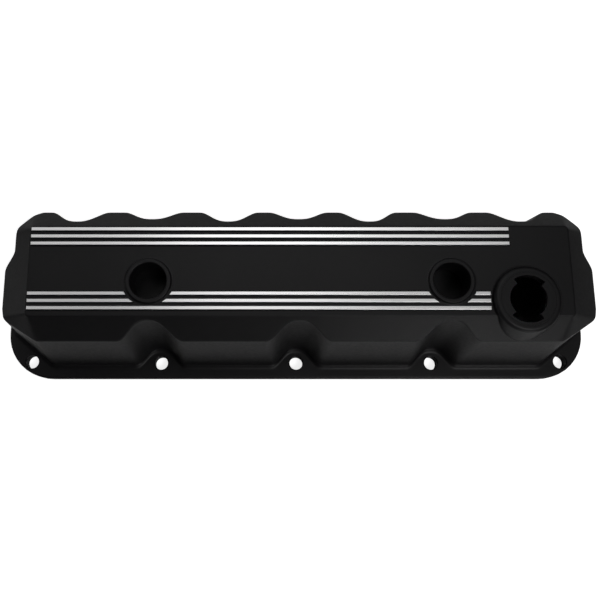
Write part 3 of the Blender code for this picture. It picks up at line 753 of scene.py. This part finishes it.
def make_bayonet_ring(material):
    low, high = corners_of("filler_bayonet_ring")
    radius = (high.x - low.x) / 2 + RING_SEATING
    profile = round_profile([(radius - RING_CAP, low.z, 0), (radius, low.z, RING_UNDER_RADIUS),
                             (radius, high.z, RING_TOP_RADIUS), (radius - RING_CAP, high.z, 0)], steps=4)
    ring = new_piece("bayonet_ring", turned(profile, FILLER_X, FILLER_Y, sides=96), material)
    apply_boolean(ring, "DIFFERENCE", [prism(bayonet_outline(), low.z - CUT_REACH, high.z + CUT_REACH)])
    ease_edges(ring, RING_MOUTH_EASE, segments=3)
    even_normals(ring, smooth_angle=40)
    return ring


def make_baffle(name, node, centre, material):
    """Sheet tray bent to round corners, with holes for its four screws."""
    low, high = corners_of(node)
    mid = BAFFLE_SHEET / 2
    path = [Vector((low.y + mid, high.z)), Vector((low.y + mid, low.z + mid)),
            Vector((high.y - mid, low.z + mid)), Vector((high.y - mid, high.z))]
    bends = arc_through(*path[:3], BAFFLE_BEND, steps=8) + arc_through(*path[1:], BAFFLE_BEND, steps=8)
    line = [path[0], *bends, path[3]]
    outer, inner = [], []
    for k, point in enumerate(line):
        ahead = line[min(k + 1, len(line) - 1)] - line[max(k - 1, 0)]
        normal = Vector((-ahead.y, ahead.x)).normalized() * mid
        outer.append(point - normal)
        inner.append(point + normal)
    loop = outer + list(reversed(inner))
    rings = [[(x, y, z) for y, z in loop] for x in (low.x, high.x)]
    baffle = new_piece(name, loft(rings), material)
    bottom, top = low.z - CUT_REACH, low.z + BAFFLE_SHEET + CUT_REACH
    apply_boolean(baffle, "DIFFERENCE", [prism(circle(x, y, POST_BORE_RADIUS, sides=24), bottom, top)
                                         for x, y in post_places(centre)])
    ease_edges(baffle, BAFFLE_EASE, segments=2)
    even_normals(baffle, smooth_angle=40)
    return baffle


def screw_builder(node):
    """Socket head screw in its node's own box, head down, with shallow grooves for a thread."""
    low, high = corners_of(node)
    x, y = (low.x + high.x) / 2, (low.y + high.y) / 2
    sides = 36
    angles = [2 * math.pi * i / sides for i in range(sides)]
    across = SOCKET_RADIUS * math.cos(math.pi / 6)
    hexagon = [across / math.cos(angle % (math.pi / 3) - math.pi / 6) for angle in angles]
    levels = [(hexagon, low.z + SOCKET_DEPTH), (hexagon, low.z + SOCKET_EASE),
              ([r + SOCKET_EASE for r in hexagon], low.z)]

    head_radius, head_top = (high.x - low.x) / 2, low.z + SCREW_HEAD_HEIGHT
    shank = SCREW_SHANK_RADIUS
    rings = round_profile([(head_radius - SCREW_FACE_INSET, low.z, 0),
                           (head_radius, low.z, SCREW_HEAD_RADII[0]),
                           (head_radius, head_top, SCREW_HEAD_RADII[1]), (shank, head_top, 0)], steps=5)
    thread_start, thread_stop = head_top + THREAD_START, high.z - THREAD_END
    for k in range(int((thread_stop - thread_start) / THREAD_PITCH)):
        z = thread_start + k * THREAD_PITCH
        rings += [(shank, z), (shank - THREAD_DEPTH, z + THREAD_PITCH / 2)]
    rings += [(shank, thread_stop), (shank * SCREW_TIP_SHARE, high.z)]
    levels += [([r] * sides, z) for r, z in rings]
    return loft([[(x + r * math.cos(angle), y + r * math.sin(angle), z) for r, angle in zip(radii, angles)]
                 for radii, z in levels])


def washer_builder(node):
    """Split spring washer: a nearly closed ring whose ends are cut on the slant."""
    low, high = corners_of(node)
    x, y = (low.x + high.x) / 2, (low.y + high.y) / 2
    outer, inner, ease = (high.x - low.x) / 2, WASHER_BORE_RADIUS, WASHER_EASE
    section = [(inner + ease, low.z), (outer - ease, low.z), (outer, low.z + ease), (outer, high.z - ease),
               (outer - ease, high.z), (inner + ease, high.z), (inner, high.z - ease), (inner, low.z + ease)]
    steps = 48
    rings = []
    for i in range(steps + 1):
        ring = []
        for radius, z in section:
            slant = WASHER_SLOT * (z - low.z) / (high.z - low.z)
            angle = WASHER_SLOT + slant + (2 * math.pi - 2 * WASHER_SLOT) * i / steps
            ring.append((x + radius * math.cos(angle), y + radius * math.sin(angle), z))
        rings.append(ring)
    return loft(rings)


# ---- materials ----------------------------------------------------------------------------------------
def shader_of(name):
    """New material, its node tree and its shader's inputs."""
    material = bpy.data.materials.new(name)
    material.use_nodes = True
    return material, material.node_tree, material.node_tree.nodes["Principled BSDF"].inputs


def add_noise(tree, scale, detail, stretch=(1, 1, 1)):
    """Noise fixed to the object; gives its output socket."""
    place = tree.nodes.new("ShaderNodeTexCoord")
    mapping = tree.nodes.new("ShaderNodeMapping")
    mapping.inputs["Scale"].default_value = stretch
    noise = tree.nodes.new("ShaderNodeTexNoise")
    noise.inputs["Scale"].default_value = scale
    noise.inputs["Detail"].default_value = detail
    tree.links.new(place.outputs["Object"], mapping.inputs["Vector"])
    tree.links.new(mapping.outputs["Vector"], noise.inputs["Vector"])
    return noise.outputs["Fac"]


def vary(tree, noise, low, high, *sockets):
    """Lets a noise drive shader sockets; low and high are (noise value, grey or colour)."""
    ramp = tree.nodes.new("ShaderNodeValToRGB")
    for element, (position, colour) in zip(ramp.color_ramp.elements, (low, high)):
        element.position = position
        element.color = (*colour, 1.0) if isinstance(colour, tuple) else (colour, colour, colour, 1.0)
    tree.links.new(noise, ramp.inputs["Fac"])
    for socket in sockets:
        tree.links.new(ramp.outputs["Color"], socket)


def add_bumps(tree, shader, *sources):
    """Chains bumps: each source is (noise, strength, distance)."""
    normal = None
    for noise, strength, distance in sources:
        bump = tree.nodes.new("ShaderNodeBump")
        bump.inputs["Strength"].default_value = strength
        bump.inputs["Distance"].default_value = distance
        tree.links.new(noise, bump.inputs["Height"])
        if normal:
            tree.links.new(normal, bump.inputs["Normal"])
        normal = bump.outputs["Normal"]
    tree.links.new(normal, shader["Normal"])


def black_coating():
    """Satin black powder coat: faint orange peel over a slightly grainy casting."""
    material, tree, shader = shader_of("black_coating")
    peel = add_noise(tree, 420, 3)
    grain = add_noise(tree, 2600, 2)
    cloud = add_noise(tree, 14, 4)
    vary(tree, cloud, (0.3, (0.0046, 0.0044, 0.0049)), (0.7, (0.0072, 0.0068, 0.0075)), shader["Base Color"])
    vary(tree, peel, (0.3, 0.40), (0.7, 0.47), shader["Roughness"])
    shader["Specular IOR Level"].default_value = 0.22
    add_bumps(tree, shader, (peel, 0.10, 0.0004), (grain, 0.08, 0.0001))
    return material


def machined_bright():
    """Milled aluminium with fine tool lines along X."""
    material, tree, shader = shader_of("machined_bright")
    lines = add_noise(tree, 500, 2, (0.01, 4, 1))
    vary(tree, lines, (0.3, 0.93), (0.7, 0.98), shader["Base Color"])
    vary(tree, lines, (0.3, 0.27), (0.7, 0.31), shader["Roughness"])
    shader["Metallic"].default_value = 1.0
    add_bumps(tree, shader, (lines, 0.03, 0.0001))
    return material


def zinc_steel():
    """Zinc plated steel, slightly speckled."""
    material, tree, shader = shader_of("zinc_steel")
    speckle = add_noise(tree, 900, 3)
    vary(tree, speckle, (0.3, (0.42, 0.43, 0.45)), (0.7, (0.60, 0.60, 0.58)), shader["Base Color"])
    vary(tree, speckle, (0.3, 0.28), (0.7, 0.42), shader["Roughness"])
    shader["Metallic"].default_value = 1.0
    add_bumps(tree, shader, (speckle, 0.08, 0.0001))
    return material


def gasket_rubber():
    """Matt black rubber with a little dust."""
    material, tree, shader = shader_of("gasket_rubber")
    dust = add_noise(tree, 160, 5)
    skin = add_noise(tree, 1500, 3)
    vary(tree, dust, (0.35, (0.018, 0.018, 0.018)), (0.75, (0.040, 0.039, 0.038)), shader["Base Color"])
    vary(tree, dust, (0.3, 0.70), (0.7, 0.85), shader["Roughness"])
    add_bumps(tree, shader, (skin, 0.25, 0.0001))
    return material


def pale_floor(name, glow):
    """Matt white floor, which glows if glow is above 0."""
    material, tree, shader = shader_of(name)
    speckle = add_noise(tree, 30, 3)
    vary(tree, speckle, (0.3, 0.86), (0.7, 0.88), shader["Base Color"], shader["Emission Color"])
    shader["Emission Strength"].default_value = glow
    shader["Roughness"].default_value = 0.9
    shader["Specular IOR Level"].default_value = 0.1
    return material


# ---- stage -----------------------------------------------------------------------------------------------
def rectangle(low, high):
    return [(low[0], low[1]), (high[0], low[1]), (high[0], high[1]), (low[0], high[1])]


def make_floors():
    """A glowing floor that is only looked at, open under the cover, over a plain one that takes the light."""
    outline = rectangle((-FLOOR_REACH, -FLOOR_REACH), (FLOOR_REACH, FLOOR_REACH))
    builder = bmesh.new()
    outer, inner = ([builder.verts.new((x, y, FLOOR_SEEN_Z)) for x, y in points]
                    for points in (outline, rectangle(*UNDER_COVER)))
    for i in range(4):
        j = (i + 1) % 4
        builder.faces.new((outer[i], outer[j], inner[j], inner[i]))
    seen = new_piece("floor", builder, pale_floor("pale_floor", FLOOR_GLOW))
    seen.visible_diffuse = False
    seen.visible_glossy = False
    seen.visible_shadow = False
    builder = bmesh.new()
    builder.faces.new([builder.verts.new((x, y, FLOOR_PLAIN_Z)) for x, y in outline])
    new_piece("floor_under", builder, pale_floor("plain_floor", 0.0))


def add_light(name, location, target, size, power):
    data = bpy.data.lights.new(name, "AREA")
    data.shape = "RECTANGLE"
    data.size, data.size_y = size
    data.energy = power
    light = bpy.data.objects.new(name, data)
    light.location = location
    light.rotation_euler = (Vector(target) - Vector(location)).to_track_quat("-Z", "Y").to_euler()
    bpy.context.scene.collection.objects.link(light)


def make_lights():
    world = bpy.data.worlds.new("studio")
    bpy.context.scene.world = world
    world.use_nodes = True
    background = world.node_tree.nodes["Background"]
    background.inputs["Color"].default_value = (1, 1, 1, 1)
    background.inputs["Strength"].default_value = 1.0
    world.cycles_visibility.diffuse = False
    world.cycles_visibility.glossy = False
    for light in LIGHTS:
        add_light(*light)
    bpy.context.scene.view_settings.view_transform = "Standard"


def make_camera():
    data = bpy.data.cameras.new("camera")
    data.sensor_width = CAMERA_SENSOR
    data.lens = CAMERA_FOCAL
    data.shift_x = CAMERA_SHIFT
    camera = bpy.data.objects.new("camera", data)
    camera.location = CAMERA_PLACE
    camera.rotation_euler = (CAMERA_TILT, 0, 0)
    bpy.context.scene.collection.objects.link(camera)
    bpy.context.scene.camera = camera


def settle(piece, slot, *nodes):
    """Puts a finished piece on the one body and hides the imported nodes it stands for."""
    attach(piece, "root")
    if nodes:
        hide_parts(*nodes)


def main():
    make_camera()
    make_lights()
    make_floors()
    black, bright, steel = black_coating(), machined_bright(), zinc_steel()
    stations = all_stations()
    settle(make_casting(stations, black), "black_coating", "cover_casting")
    settle(make_rib_caps(bright), "bare_aluminium")
    settle(make_bayonet_ring(black), "black_coating", "filler_bayonet_ring")
    settle(make_gasket(stations, gasket_rubber()), "gasket_rubber", "gasket")
    for side, centre in baffle_centres().items():
        node = f"{side}_baffle"
        # The baffle trays take the casting's black coating so that the view down the breather bores stays
        # dark: painted shade, standing in for the shade inside the closed cover.
        settle(make_baffle(f"{node}_tray", node, centre, black), "black_coating", node)
        for number in range(1, 5):
            for kind, builder in (("baffle_screw", screw_builder), ("lock_washer", washer_builder)):
                node = f"{side}_{kind}_{number}"
                settle(new_piece(f"{node}_detail", builder(node), steel), "zinc_steel", node)


main()
